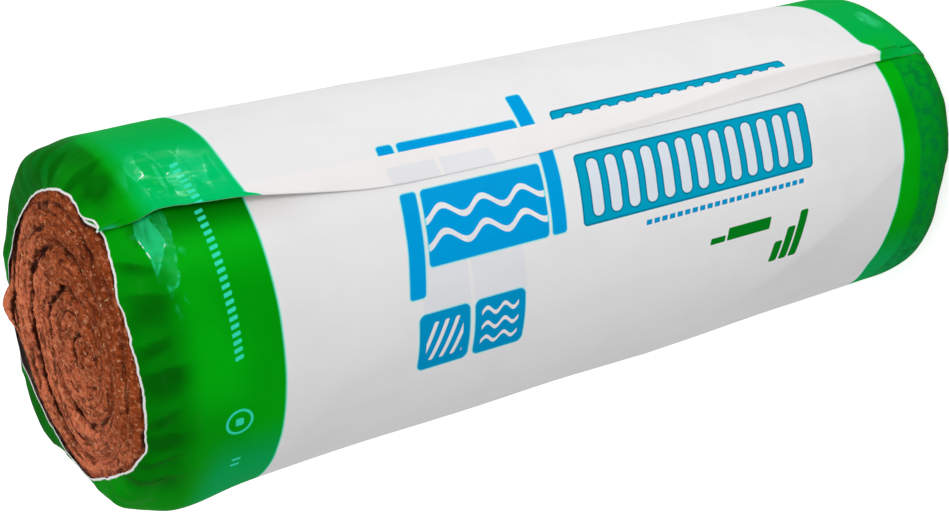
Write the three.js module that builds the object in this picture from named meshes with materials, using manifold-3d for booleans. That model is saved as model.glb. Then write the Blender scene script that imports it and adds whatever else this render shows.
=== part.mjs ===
// A roll of mineral wool insulation mat, wound without a core and wrapped in a sleeve of film.
// It stands on one flat end, with Z up along its axis. The origin is on the floor, under the middle of that end.
// The shapes are made about the X axis, and the finished roll is then stood up with its -X end on top.
// All sizes are in millimetres.
import * as THREE from "three";
import { mergeVertices } from "three/addons/utils/BufferGeometryUtils.js";
import Module from "manifold-3d";

// Roll
const ROLL_LENGTH = 1200; // the width of the mat, so the length of the wool
const ROLL_DIAMETER = 410; // over the film
const SHOULDER_LENGTH = 60; // how far the rounded edge of each end reaches along the roll
const SHOULDER_DROP = 54; // and how far it reaches in towards the axis
const SHOULDER_FULLNESS = 2.2; // 2 is an ellipse, and more is squarer

// Wound mat
const MAT_THICKNESS = 45; // one turn of the mat, squeezed
const CORE_RADIUS = 10; // the tight fold that the winding starts round
const CORE_FORWARD = 62; // how far off the axis the core of the winding sits, to -Y
const CORE_START = 52; // degrees round from the front (-Y) at which the winding leaves the core
const GROOVE_WIDTH = 15; // the hollow between two turns, where it opens on the end
const GROOVE_DEPTH = 11;

// Film
const FILM_THICKNESS = 1;
const FILM_CLEARANCE = 0.3; // between the film and the wool
const LAP_STEP = 2; // how far the outer layer of the lap stands off the layer under it
const LAP_ANGLE = 48; // degrees round from the front (-Y) to the middle of the lap's free edge
const LAP_WANDER = 16; // how far the free edge strays from a straight line
const TOP_OPENING_RADIUS = 165; // the hole that the gathered film leaves at the upper end
const TOP_OPENING_FORWARD = 12; // how far that hole sits off the axis, to -Y
const FOOT_OPENING_RADIUS = 171; // the hole at the lower end, whose rim stays clear of the floor
const GATHER_DEPTH = 2.5; // the scallops that the gathers make in the rim of a hole
const GATHERS = 11;

// Facets
const ROUND_SIDES = 64; // a multiple of 4, so that a flat side faces the front
const SHOULDER_STEPS = 7;
const GROOVE_STEPS_PER_TURN = 28;
const RIM_STEPS = 66;
const LAP_STEPS = 14;

const PAST = 20; // how far a cutting body runs past what it cuts
const TOP = -1; // the end that is up once the roll stands, on the X axis that it is made about
const FOOT = 1;

const wasm = await Module();
wasm.setup();

// A closed three.js geometry as a solid that can be cut and joined.
function solid(geometry) {
  const bare = geometry.clone();
  bare.deleteAttribute("normal");
  bare.deleteAttribute("uv");
  const merged = mergeVertices(bare, 1e-4);
  return new wasm.Manifold(
    new wasm.Mesh({
      numProp: 3,
      vertProperties: merged.attributes.position.array,
      triVerts: new Uint32Array(merged.index.array),
    }),
  );
}

function mesh(name, body, color, roughness) {
  const { vertProperties, triVerts } = body.getMesh();
  const geometry = new THREE.BufferGeometry();
  geometry.setAttribute("position", new THREE.BufferAttribute(vertProperties, 3));
  geometry.setIndex(new THREE.BufferAttribute(triVerts, 1));
  const faceted = geometry.toNonIndexed();
  faceted.computeVertexNormals();
  const made = new THREE.Mesh(faceted, new THREE.MeshStandardMaterial({ color, roughness, metalness: 0 }));
  made.name = name;
  return made;
}

// The outline of half the roll, set in by a distance from the film's outside: along the axis, then out over
// a rounded shoulder at each end. Each point is (distance from the axis, place along the roll).
function rollProfile(inset) {
  const outside = FILM_THICKNESS + FILM_CLEARANCE; // what the film adds to the wool
  const radius = ROLL_DIAMETER / 2 - inset;
  const end = ROLL_LENGTH / 2 + outside - inset;
  const length = SHOULDER_LENGTH - inset;
  const drop = SHOULDER_DROP - inset;
  const rounding = (x) => Math.pow(x, 2 / SHOULDER_FULLNESS);
  const shoulder = [];
  for (let i = 0; i <= SHOULDER_STEPS; i++) {
    const turn = (i / SHOULDER_STEPS) * (Math.PI / 2);
    const out = radius - drop * (1 - rounding(Math.sin(turn)));
    const along = end - length * (1 - rounding(Math.cos(turn)));
    shoulder.push(new THREE.Vector2(out, along));
  }
  const near = shoulder.map((p) => new THREE.Vector2(p.x, -p.y));
  return [new THREE.Vector2(0, -end), ...near, ...shoulder.reverse(), new THREE.Vector2(0, end)];
}

// A profile turned about the roll's axis. Its flat sides lie on the true round, one of them facing the front.
function turned(profile) {
  const toCorner = 1 / Math.cos(Math.PI / ROUND_SIDES);
  const corners = profile.map((p) => new THREE.Vector2(p.x * toCorner, p.y));
  const spun = new THREE.LatheGeometry(corners, ROUND_SIDES, Math.PI / ROUND_SIDES);
  spun.rotateZ(-Math.PI / 2);
  return solid(spun);
}

// The line between two turns of the mat, seen along the roll. The core of the winding sits off the axis,
// and each turn further out sits nearer to it.
class WindingLine extends THREE.Curve {
  constructor(end) {
    super();
    this.end = end;
  }

  getPoint(t) {
    const outermost = ROLL_DIAMETER / 2;
    const out = CORE_RADIUS + t * (outermost - CORE_RADIUS);
    const turns = (out - CORE_RADIUS) / MAT_THICKNESS;
    const angle = THREE.MathUtils.degToRad(CORE_START) + turns * 2 * Math.PI;
    const forward = CORE_FORWARD * (1 - out / outermost);
    return new THREE.Vector3(this.end, -forward - out * Math.cos(angle), out * Math.sin(angle));
  }

  // Steps along the line are equal in angle, so that the tight turns near the core are as round as the outer ones.
  getUtoTmapping(u) {
    return u;
  }
}

// The hollow between the turns on one end of the wool, as a body to cut away. side is TOP or FOOT.
function windingGroove(side) {
  const line = new WindingLine((side * ROLL_LENGTH) / 2);
  const turns = (ROLL_DIAMETER / 2 - CORE_RADIUS) / MAT_THICKNESS;
  const half = GROOVE_WIDTH / 2;
  // Swept round the axis, the section's x runs along -X, which at the top points out of the wool.
  const section = new THREE.Shape();
  section.moveTo(-side * PAST, -half);
  section.lineTo(0, -half);
  section.quadraticCurveTo(0, -half / 4, side * GROOVE_DEPTH, 0);
  section.quadraticCurveTo(0, half / 4, 0, half);
  section.lineTo(-side * PAST, half);
  section.closePath();
  const swept = new THREE.ExtrudeGeometry(section, {
    steps: Math.round(turns * GROOVE_STEPS_PER_TURN),
    curveSegments: 3,
    extrudePath: line,
  });
  return solid(swept);
}

function woolRoll() {
  let wool = turned(rollProfile(FILM_THICKNESS + FILM_CLEARANCE));
  for (const side of [TOP, FOOT]) {
    wool = wool.subtract(windingGroove(side));
  }
  return wool;
}

// The part of the roll that the lap's outer layer covers: from the wandering free edge to well past the line
// where the layer runs out into the sheet.
function lapReach() {
  const lap = THREE.MathUtils.degToRad(LAP_ANGLE);
  const radius = ROLL_DIAMETER / 2;
  const edge = -radius * Math.cos(lap);
  const end = ROLL_LENGTH / 2 + PAST;
  const plan = new THREE.Shape();
  for (let i = 0; i <= LAP_STEPS; i++) {
    const along = i / LAP_STEPS;
    const stray = LAP_WANDER * Math.cos(2 * Math.PI * (along - 0.1));
    plan[i ? "lineTo" : "moveTo"](-end + 2 * end * along, edge + stray);
  }
  plan.lineTo(end, radius);
  plan.lineTo(-end, radius);
  plan.closePath();
  const block = new THREE.ExtrudeGeometry(plan, { depth: radius + PAST, bevelEnabled: false });
  return solid(block);
}

// The hole that the gathered film leaves at an end, with its scalloped rim.
function endOpening(side, radius, forward) {
  const rim = new THREE.Shape();
  for (let i = 0; i < RIM_STEPS; i++) {
    const angle = (i / RIM_STEPS) * 2 * Math.PI;
    const out = radius + GATHER_DEPTH * Math.sin(GATHERS * angle);
    rim[i ? "lineTo" : "moveTo"](out * Math.cos(angle) - forward, out * Math.sin(angle));
  }
  rim.closePath();
  const plug = new THREE.ExtrudeGeometry(rim, { depth: SHOULDER_LENGTH + PAST, bevelEnabled: false });
  plug.rotateX(Math.PI / 2);
  plug.rotateZ(Math.PI / 2); // the outline's x is now Y, its y is Z, and its depth runs along X
  const inner = ROLL_LENGTH / 2 - SHOULDER_LENGTH;
  plug.translate(side === TOP ? -ROLL_LENGTH / 2 - PAST : inner, 0, 0);
  return solid(plug);
}

function wrapperFilm() {
  const lap = THREE.MathUtils.degToRad(LAP_ANGLE);
  const sheet = turned(rollProfile(0));
  const outerLayer = turned(rollProfile(0)).translate([0, -LAP_STEP * Math.cos(lap), LAP_STEP * Math.sin(lap)]);
  return sheet
    .add(outerLayer.intersect(lapReach()))
    .subtract(turned(rollProfile(FILM_THICKNESS)))
    .subtract(endOpening(TOP, TOP_OPENING_RADIUS, TOP_OPENING_FORWARD))
    .subtract(endOpening(FOOT, FOOT_OPENING_RADIUS, 0));
}

const roll = new THREE.Group();
roll.add(mesh("wool_roll", woolRoll(), 0x8a5238, 1));
roll.add(mesh("wrapper_film", wrapperFilm(), 0xe6e6e8, 0.35));
roll.rotation.y = Math.PI / 2; // stood up, with the -X end on top
roll.position.z = ROLL_LENGTH / 2;

export default roll;
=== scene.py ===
"""A roll of mineral wool mat, wound without a core, in a sleeve of printed film. It stands on one end.

Z is up along the roll's axis. Angles go round it in degrees, from the front (-Y) towards +X.
"down" is a place along the film, measured down from the edge of its upper green band.
Lengths are in millimetres, and become metres where a mesh takes them. The camera and the lamps are placed in
metres, and the materials' noises are scaled by the metre.
"""

import math
import random
from bisect import bisect_right
from functools import partial, reduce

import bmesh
import bpy
from mathutils import Matrix, Vector, noise


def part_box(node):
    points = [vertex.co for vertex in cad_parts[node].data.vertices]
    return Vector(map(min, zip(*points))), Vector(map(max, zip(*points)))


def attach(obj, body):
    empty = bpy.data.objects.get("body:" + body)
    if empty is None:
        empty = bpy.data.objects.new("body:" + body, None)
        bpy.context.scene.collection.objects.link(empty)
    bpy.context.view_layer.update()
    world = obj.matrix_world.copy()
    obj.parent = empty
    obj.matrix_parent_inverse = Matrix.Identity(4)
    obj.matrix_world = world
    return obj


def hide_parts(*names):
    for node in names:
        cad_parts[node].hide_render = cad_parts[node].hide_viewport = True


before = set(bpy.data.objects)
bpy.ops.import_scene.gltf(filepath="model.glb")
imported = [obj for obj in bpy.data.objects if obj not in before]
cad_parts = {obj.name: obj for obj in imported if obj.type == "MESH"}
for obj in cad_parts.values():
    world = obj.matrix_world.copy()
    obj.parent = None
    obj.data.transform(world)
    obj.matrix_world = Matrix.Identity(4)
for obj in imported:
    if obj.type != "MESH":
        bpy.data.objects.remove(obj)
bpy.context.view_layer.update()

MM = 0.001  # metres

# ---------------- sizes, in millimetres

_, film_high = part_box("wrapper_film")
wool_low, wool_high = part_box("wool_roll")

RADIUS = film_high.y / MM  # over the film
WOOL_TOP, WOOL_FOOT = wool_high.z / MM, wool_low.z / MM
FILM_TOP = film_high.z / MM
FILM_FOOT = WOOL_FOOT - (FILM_TOP - WOOL_TOP)  # where the sleeve's rounded foot would end if it ran flat
SHOULDER_LENGTH = 60  # the rounded edge of each end, along the roll
SHOULDER_DROP = 54  # and in towards the axis
SHOULDER_FULLNESS = 2.2
TOP_SIDE = FILM_TOP - SHOULDER_LENGTH  # the height at which the straight side ends
FOOT_SIDE = FILM_FOOT + SHOULDER_LENGTH
BAND_LINE = WOOL_TOP - 150.7  # the height of the edge of the upper green band
FOOT_BAND = 931  # how far below it the lower green band starts

# The lap: the sheet's free edge lies near LAP_ANGLE, and the sheet goes once round and on under it.
LAP_ANGLE = 50.0
SHEET_TURN = 384.0  # degrees of sheet, so about 24 of them are double
SHEET_MIDDLE = 250  # degrees of sheet: what lies nearer to the free edge is the outer layer at the lap
PRINT_CUT = 54.5  # the outer layer is printed only past this angle

# (down, angle) along the sheet's free edge, which strays
LAP_EDGE = ((-170, 53.5), (-148, 53.0), (-116, 51.2), (-89, 52.2), (-59, 51.2), (-16, 50.3), (13, 49.4),
            (78, 46.9), (143, 44.5), (208, 43.7), (338, 43.8), (403, 44.4), (560, 45.0), (626, 45.5),
            (678, 46.1), (756, 46.8), (821, 47.9), (886, 48.8), (938, 49.6), (1026, 49.0), (1100, 49.0))
# (down, height) that the free edge stands off the layer under it
LAP_LIFT = ((-160, 1.0), (-116, 4.0), (-60, 7.0), (0, 8.5), (30, 6.5), (90, 2.6), (150, 0.8), (220, 0.2),
            (360, 0.0), (600, 0.0), (760, 0.8), (880, 2.2), (940, 2.6), (1100, 0.8))
# (down, angle) along the crest of the long fold behind the free edge, and (down, height) of that crest
FOLD_CREST = ((380, 44.9), (431, 45.4), (495, 46.5), (560, 47.7), (626, 49.6), (691, 51.5), (756, 52.4),
              (821, 52.6), (938, 52.0), (1016, 52.8), (1060, 52.8))
FOLD_HEIGHT = ((380, 0.0), (440, 2.0), (560, 5.5), (700, 8.5), (860, 9.0), (960, 6.5), (1040, 3.5),
               (1120, 0.0))
# (angle, share of the roll's radius) round the rim of the upper opening, which the gathers pull out of round
RIM_SHAPE = ((-170, 0.885), (-150, 0.79), (-126, 0.755), (-106, 0.74), (-82, 0.775), (-60, 0.76),
             (-45, 0.79), (-33, 0.842), (-21, 0.883), (-8, 0.88), (8, 0.872), (30, 0.85), (46, 0.878),
             (54, 0.885), (62, 0.832), (70, 0.842), (80, 0.825), (94, 0.769), (104, 0.74), (117, 0.705),
             (132, 0.69), (146, 0.695), (158, 0.715), (168, 0.75), (179, 0.81))
FOOT_RIM = 0.83  # the same for the lower opening, which is nearly round
# (angle, height) that the film stands off its plain round: at the crown of the upper shoulder, where that
# shoulder meets the side, and at the foot's edge
CROWN_FULL = ((-170, 6.5), (-158, 1), (-146, -3), (-135, -1), (-123, 0), (-112, -6), (-98, -11), (-86, -8),
              (-75, -4), (-64, 4), (-50, 2), (-30, 0), (88, 0), (104, 9), (116, 9.5), (128, 6.5), (150, 2.5),
              (168, 4))
CORNER_FULL = ((-150, 0), (-85, 0), (-67, 2.5), (-54, 6), (-38, 0), (-20, 0), (85, 0), (108, -2), (128, 2),
               (150, 0))
FOOT_FULL = ((-150, 0), (-90, 0), (-60, 2), (-38, 5.5), (-21, 0), (-8, -4), (8, 0), (24, 5), (38, 7.5),
             (50, 7), (65, 2.5), (95, 5), (120, 0))
# The slanted line low on the front at which the sheet bends: a point on it, as (down, distance round from the
# front), and how steeply it runs
DENT_START = (916, 36)
DENT_SINE, DENT_COSINE = 0.482, 0.876

WOOL_GAP = 9  # the wool under the film, where the film hides it
MAT_THICKNESS = 45
CORE_RADIUS = 10
CORE_FORWARD = 62
CORE_START = 52.0

# ---------------- camera


def make_camera():
    """The camera lies on its side, so the standing roll runs across the picture."""
    place = Vector((0.6917, -1.4790, 1.7265))
    aim = Vector((-0.0518, 0.0326, 0.6484))
    picture_up = Vector((1, 0, 0))
    ahead = (aim - place).normalized()
    right = ahead.cross(picture_up).normalized()
    up = right.cross(ahead)
    data = bpy.data.cameras.new("camera")
    data.lens = 59.69
    data.sensor_width = 36
    camera = put_in_scene("camera", data)
    camera.matrix_world = Matrix.Translation(place) @ Matrix((right, up, -ahead)).transposed().to_4x4()
    bpy.context.scene.camera = camera


def put_in_scene(name, data):
    made = bpy.data.objects.new(name, data)
    bpy.context.scene.collection.objects.link(made)
    return made


# ---------------- shaping


def ramp(x, start=0.0, end=1.0):
    """0 where x is start, 1 where it is end, smooth between them and level beyond."""
    share = min(1.0, max(0.0, (x - start) / (end - start)))
    return share * share * (3 - 2 * share)


def window(x, start, full, fading, end):
    """1 from full to fading, and 0 up to start and from end on."""
    return ramp(x, start, full) * ramp(x, end, fading)


def hump(x, middle=0.0, width=1.0):
    """1 in the middle, and nearly 0 from two widths off it."""
    return math.exp(-(((x - middle) / width) ** 2))


def wrap(angle):
    """The angle between -180 and 180."""
    return (angle + 180) % 360 - 180


def round_hump(angle, middle, width):
    return hump(wrap(angle - middle), 0.0, width)


def through(knots, x):
    """A smooth line through knots, which are (x, y) with x rising; level beyond its ends."""
    if x <= knots[0][0]:
        return knots[0][1]
    if x >= knots[-1][0]:
        return knots[-1][1]
    i = max(k for k in range(len(knots)) if knots[k][0] <= x)
    before, start, end, after = (knots[min(max(i + k, 0), len(knots) - 1)] for k in (-1, 0, 1, 2))
    width = end[0] - start[0]
    t = (x - start[0]) / width
    slope_in = (end[1] - before[1]) / (end[0] - before[0]) * width
    slope_out = (after[1] - start[1]) / (after[0] - start[0]) * width
    return (
        (2 * t**3 - 3 * t**2 + 1) * start[1]
        + (t**3 - 2 * t**2 + t) * slope_in
        + (3 * t**2 - 2 * t**3) * end[1]
        + (t**3 - t**2) * slope_out
    )


def straight_through(knots, x):
    for (x0, y0), (x1, y1) in zip(knots, knots[1:]):
        if x <= x1:
            return y0 + (y1 - y0) * (x - x0) / (x1 - x0)
    return knots[-1][1]


def round_knots(knots):
    """Knots by angle, with a few repeated past each end so that the line joins up."""
    return [(a - 360, y) for a, y in knots[-3:]] + list(knots) + [(a + 360, y) for a, y in knots[:3]]


def at(angle, out, height):
    a = math.radians(angle)
    return Vector((out * math.sin(a), -out * math.cos(a), height))


def drift(x, y, z=0.0):
    """Smooth noise between about -1 and 1."""
    return noise.noise(Vector((x, y, z)))


class Shoulder:
    """The line from the straight side over the rounded edge of an end and in to the axis, by its length."""

    STEPS = 64
    CELL = 0.5

    def __init__(self, radius, length, drop):
        power = 2 / SHOULDER_FULLNESS
        outline = []
        for i in range(self.STEPS + 1):
            turn = i / self.STEPS * math.pi / 2
            outline.append((radius - drop * (1 - math.cos(turn) ** power), length * math.sin(turn) ** power))
        outline.append((0.0, length))
        self.radius = radius
        self.cells = []
        for (out, rise), (next_out, next_rise) in zip(outline, outline[1:]):
            piece = math.hypot(next_out - out, next_rise - rise)
            count = max(1, round(piece / self.CELL))
            lean = ((next_rise - rise) / piece, (out - next_out) / piece)
            for k in range(count):
                t = k / count
                self.cells.append((out + (next_out - out) * t, rise + (next_rise - rise) * t, *lean))
        self.cells.append((0.0, length, 0.0, 1.0))
        self.lengths = [0.0]
        for a, b in zip(self.cells, self.cells[1:]):
            self.lengths.append(self.lengths[-1] + math.hypot(b[0] - a[0], b[1] - a[1]))

    def at(self, length):
        """(out, rise, how much its normal points out, and how much up) at a length past the start."""
        if length <= 0:
            return self.radius, length, 1.0, 0.0
        i = min(bisect_right(self.lengths, length), len(self.lengths) - 1)
        t = min(1.0, (length - self.lengths[i - 1]) / (self.lengths[i] - self.lengths[i - 1]))
        return tuple(a + (b - a) * t for a, b in zip(self.cells[i - 1], self.cells[i]))

    def length_to(self, out):
        """How far past the start the line comes in to a distance from the axis."""
        return next(s for s, cell in zip(self.lengths, self.cells) if cell[0] <= out)


# ---------------- film sleeve

ALONG_ROWS = 150
AROUND_COLUMNS = 318
FOOT_SHARE = 0.17  # share of the rows on the foot's shoulder
TOP_SHARE = 0.68  # share of the rows below the top's shoulder
CLOSER_TO_TOP = 1.35  # above 1 the rows of the straight side crowd towards its upper end
# (share of the columns, degrees of sheet from the free edge): fine over the lap and the front
AROUND = ((0, 0), (0.14, 20), (0.30, 66), (0.50, 246), (0.945, 362), (1, SHEET_TURN))
FAR = 1000  # stands for the distance to the rim of the other end
FILM_WALL = 0.3
DRAWN_IN_AT_RIM, DRAWN_IN_INLAND = 2, 11  # how far in the film may be drawn, at the rim and 24 away from it
FLOOR_GAP = 0.4  # between the film and the floor
MIDDLE_HEIGHT = 0.6  # metres, half way up the roll

film_shoulder = Shoulder(RADIUS, SHOULDER_LENGTH, SHOULDER_DROP)
rim_knots, crown_knots = round_knots(RIM_SHAPE), round_knots(CROWN_FULL)
corner_knots, foot_knots = round_knots(CORNER_FULL), round_knots(FOOT_FULL)


def sheet_run(angle):
    """How far round the sheet an angle lies from the lap's mean line."""
    return math.radians(angle - LAP_ANGLE) * RADIUS


def top_rim_radius(angle):
    angle = wrap(angle)
    return RADIUS * through(rim_knots, angle) + 1.6 * drift(angle / 6, 3.1) + 0.8 * drift(angle / 2.2, 7.7)


def foot_rim_radius(angle):
    angle = wrap(angle)
    return RADIUS * FOOT_RIM + 2.0 * math.sin(math.radians(9 * angle)) + 1.5 * drift(angle / 7, 9.4)


def make_pleats(seed, count, chosen):
    """One end's gathers: (angle, width in degrees, height, reach from the rim, slant in degrees a metre)."""
    draw = random.Random(seed)
    pleats = list(chosen)
    for i in range(count):
        angle = (i + draw.uniform(-0.35, 0.35)) / count * 360 - 180
        width = draw.uniform(1.5, 4.0)
        height = draw.choice((-1, -1, 1)) * draw.uniform(0.5, 1.8)
        reach = draw.uniform(45, 110)
        slant = draw.uniform(-150, 150)
        pleats.append((angle, width, height, reach, slant))
    return pleats


TALL_FOLD = 3  # a gather higher than this is steep on one side, and painted shade lies along that side
TOP_PLEATS = make_pleats(11, 36, chosen=(
    (53.5, 1.0, 3.6, 34, 0),
    (43, 5.0, 4.6, 62, -140),
    (32, 12.0, 6.6, 100, -70),
    (15, 7.0, 4.6, 60, 60),
    (6, 13.0, 7.0, 96, 60),
    (-10, 6.0, 4.4, 54, 160),
    (-15, 11.0, 6.0, 90, 60),
    (-29, 6.0, 4.6, 66, 240),
    (-38, 10.0, 5.8, 84, 160),
    (-55, 8.0, 5.0, 70, 120),
    (66, 6.0, -4.0, 60, -60),
    (79, 5.0, 3.4, 80, 0),
    (92, 6.0, 3.4, 66, 40),
    (118, 8.0, 4.6, 76, 30),
    (141, 9.0, 4.8, 70, -60),
    (166, 8.0, 4.4, 74, 40),
    (-76, 9.0, 4.8, 74, 60),
    (-104, 9.0, 4.8, 70, -40),
    (-148, 9.0, 4.6, 76, 60),
))
FOOT_PLEATS = make_pleats(23, 34, chosen=tuple(
    (angle, 8.0, 3.4, 52, slant)
    for angle, slant in ((-170, 60), (-141, -80), (-108, 40), (-77, -40), (-50, 80), (-22, -60), (4, 60),
                         (29, -60), (62, 80), (93, -60), (121, 60), (152, -90))
))


def pleat_height(pleats, angle, from_rim):
    """(height, how much painted shade lies there). Tall folds are steep on one side, and painted shade lies
    along that side.
    """
    height, wedge_shade = 0.0, 0.0
    for centre, width, rise, reach, slant in pleats:
        x = wrap(angle - centre - slant * from_rim * MM) / width
        if from_rim > reach or abs(x) >= 3:
            continue
        tall = rise > TALL_FOLD
        steep = 3.6 if x < 0 and tall else 1.4
        fade = ramp(1.15 * (1 - from_rim / reach)) * (0.35 + 0.65 * ramp(from_rim, 0, 22))
        height += rise * fade * math.exp(-steep * abs(x) ** 1.35)
        inside = x / (1 - 0.7 * from_rim / reach)
        if tall:
            wedge_shade = max(wedge_shade, fade * window(inside, -1.1, -0.3, -0.02, 0.12))
    return height, wedge_shade


def crumple(angle, down, centre_angle, centre_down, wide, tall, seed):
    """A patch of sharp little folds, 0 outside it."""
    share = round_hump(angle, centre_angle, wide) * hump(down, centre_down, tall)
    if share < 0.02:
        return 0.0
    x = math.radians(angle) * RADIUS
    fold = 1 - abs(drift(x / 22, down / 30, seed)) * 2.2
    finer = 1 - abs(drift(x / 9, down / 14, seed + 5)) * 2.2
    return share * (fold * 2.4 + finer * 0.8)


# (down, angle, lean, height, reach in degrees) of the long soft creases on the white
SLACK_CREASES = (
    (200, 96, 0.9, 1.44, 16),
    (80, 78, -0.5, -1.28, 14),
    (660, 88, 1.6, 1.44, 15),
    (840, 74, -1.2, -1.44, 16),
    (440, -28, 2.2, 1.28, 15),
    (120, 12, 1.4, -1.12, 14),
    (580, -60, -1.8, 0.64, 22),
    (300, -110, 1.5, 2.08, 26),
    (720, -150, -1.1, 2.08, 26),
    (400, 160, 1.7, 1.92, 24),
    (780, 125, -1.9, -1.92, 22),
)


def slack(angle, down):
    """The film's soft unevenness on the straight side."""
    ring = at(angle, 2.2, 0)
    height = 1.9 * drift(ring.x, -ring.y, down / 210)
    height += 0.8 * drift(ring.x * 3.1, -ring.y * 3.1, down / 160 + 8)
    for centre_down, centre_angle, lean, depth, reach in SLACK_CREASES:
        across = down - centre_down - lean * math.radians(wrap(angle - centre_angle)) * RADIUS
        height += depth * round_hump(angle, centre_angle, reach) * math.exp(-abs(across) / 13)
    return height


def corner_dent(angle, down):
    """The sheet bends along a slanted line low on the front, and lies a little lower beyond it."""
    turn = wrap(angle)
    x, y = down - DENT_START[0], math.radians(turn) * RADIUS - DENT_START[1]
    beyond = x * DENT_SINE - y * DENT_COSINE
    run = -(x * DENT_COSINE + y * DENT_SINE)
    if beyond <= 0:
        return 0.0
    fading = ramp(run, 400, 250) * ramp(turn, -56, -38) * ramp(down, 985, 945)
    return -6.0 * (1 - math.exp(-beyond / 28)) * hump(beyond, 0, 180) * fading


def fold_shade(angle, down, wedge_shade):
    """Painted shade on the green drawn in over the shoulders, 0 to 1: most below the tall folds' steep sides,
    behind the lap and beside its upper end, and least over the lap.
    """
    turn = wrap(angle)
    behind = hump(turn, -132, 34)
    on_shoulder = ramp(down, -88, -122) + ramp(down, 1000, 1030)
    on_shoulder = max(on_shoulder, behind * ramp(down, -56, -96))
    over_lap = window(turn, 50, 56, 95, 98) * ramp(down, -118, -110)
    low_side = window(turn, -100, -80, -48, -34)
    beside_lap = hump(turn, 68, 9) * hump(down, -134, 14)
    depth = (
        0.36
        + 0.30 * window(turn, -58, -38, 22, 34)  # the front
        + 0.56 * window(turn, 97, 100, 150, 190)  # behind the lap
        + 0.42 * window(turn, 64, 70, 97, 102)  # where the lap is drawn tight
        + 0.6 * behind
        + 0.20 * drift(angle / 7, down / 30, 4.4) * (1 - 0.7 * hump(turn, 140, 38))
    )
    depth = depth * (1 - 0.5 * over_lap) * (1 - 0.6 * low_side) + 0.5 * wedge_shade * (1 - 0.5 * low_side)
    return min(1.0, max(0.0, on_shoulder * depth + 0.6 * beside_lap))


def shoulder_facets(angle, down):
    """The upper shoulder is flat where the film is drawn tight up to the rim, and bulges at the back."""
    turn = wrap(angle)
    return (
        -8.5 * window(turn, -75, -50, 44, 58) * hump(down, -125, 18)
        - 4.0 * window(turn, 62, 76, 130, 150) * hump(down, -128, 22)
        + 16 * round_hump(angle, -132, 27) * hump(down, -138, 26)
        + 2.2 * math.exp(-abs(wrap(angle - 97)) / 2.4) * hump(down, -118, 34)
    )


def fullness(angle, down, from_rim):
    """How far the sleeve bulges or is drawn in, by angle, about its two ends."""
    turn = wrap(angle)
    return (
        through(crown_knots, turn) * hump(down, -146, 24) * ramp(from_rim, 0, 20)
        + through(corner_knots, turn) * hump(down, -82, 46)
        + through(foot_knots, turn) * hump(down, 1030, 34)
        + 4.0 * round_hump(angle, -60, 24) * hump(down, 640, 230)
    )


def lap_height(turned, angle, down):
    """How far the outer layer stands off, by degrees of sheet from its free edge."""
    if turned > 70:
        return 0.0
    layer = 0.75 * ramp(turned, 70, 10)
    lift = through(LAP_LIFT, down) * hump(turned, 0, 6.5)
    crest = through(FOLD_CREST, down)
    edge = through(LAP_EDGE, down)
    if angle < crest:
        fold = max(0.0, (angle - edge) / max(1.0, crest - edge)) ** 1.5
    else:
        fold = math.exp(-((angle - crest) / 9) ** 1.2)
    second_crease = 2.6 * math.exp(-abs(angle - crest) / 0.9) * ramp(down, 890, 950)
    return layer + lift + second_crease + through(FOLD_HEIGHT, down) * fold


def plain_place(along, angle):
    """A point of the unfolded sheet: (out, height, its normal's two parts, down, distance from each rim)."""
    to_top_rim = film_shoulder.length_to(top_rim_radius(angle))
    to_foot_rim = film_shoulder.length_to(foot_rim_radius(angle))
    if along > TOP_SHARE:
        share = (along - TOP_SHARE) / (1 - TOP_SHARE)
        past = share * to_top_rim
        out, rise, lean_out, lean_up = film_shoulder.at(past)
        down = BAND_LINE - TOP_SIDE - past
        return out, TOP_SIDE + rise, lean_out, lean_up, down, to_top_rim - past, FAR
    if along < FOOT_SHARE:
        share = 1 - along / FOOT_SHARE
        past = share * to_foot_rim
        out, rise, lean_out, lean_up = film_shoulder.at(past)
        down = BAND_LINE - FOOT_SIDE + past
        return out, FOOT_SIDE - rise, lean_out, -lean_up, down, FAR, to_foot_rim - past
    share = (along - FOOT_SHARE) / (TOP_SHARE - FOOT_SHARE)
    height = TOP_SIDE - (TOP_SIDE - FOOT_SIDE) * (1 - share) ** CLOSER_TO_TOP
    from_rims = to_top_rim + TOP_SIDE - height, to_foot_rim + height - FOOT_SIDE
    return RADIUS, height, 1.0, 0.0, BAND_LINE - height, *from_rims


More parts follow.
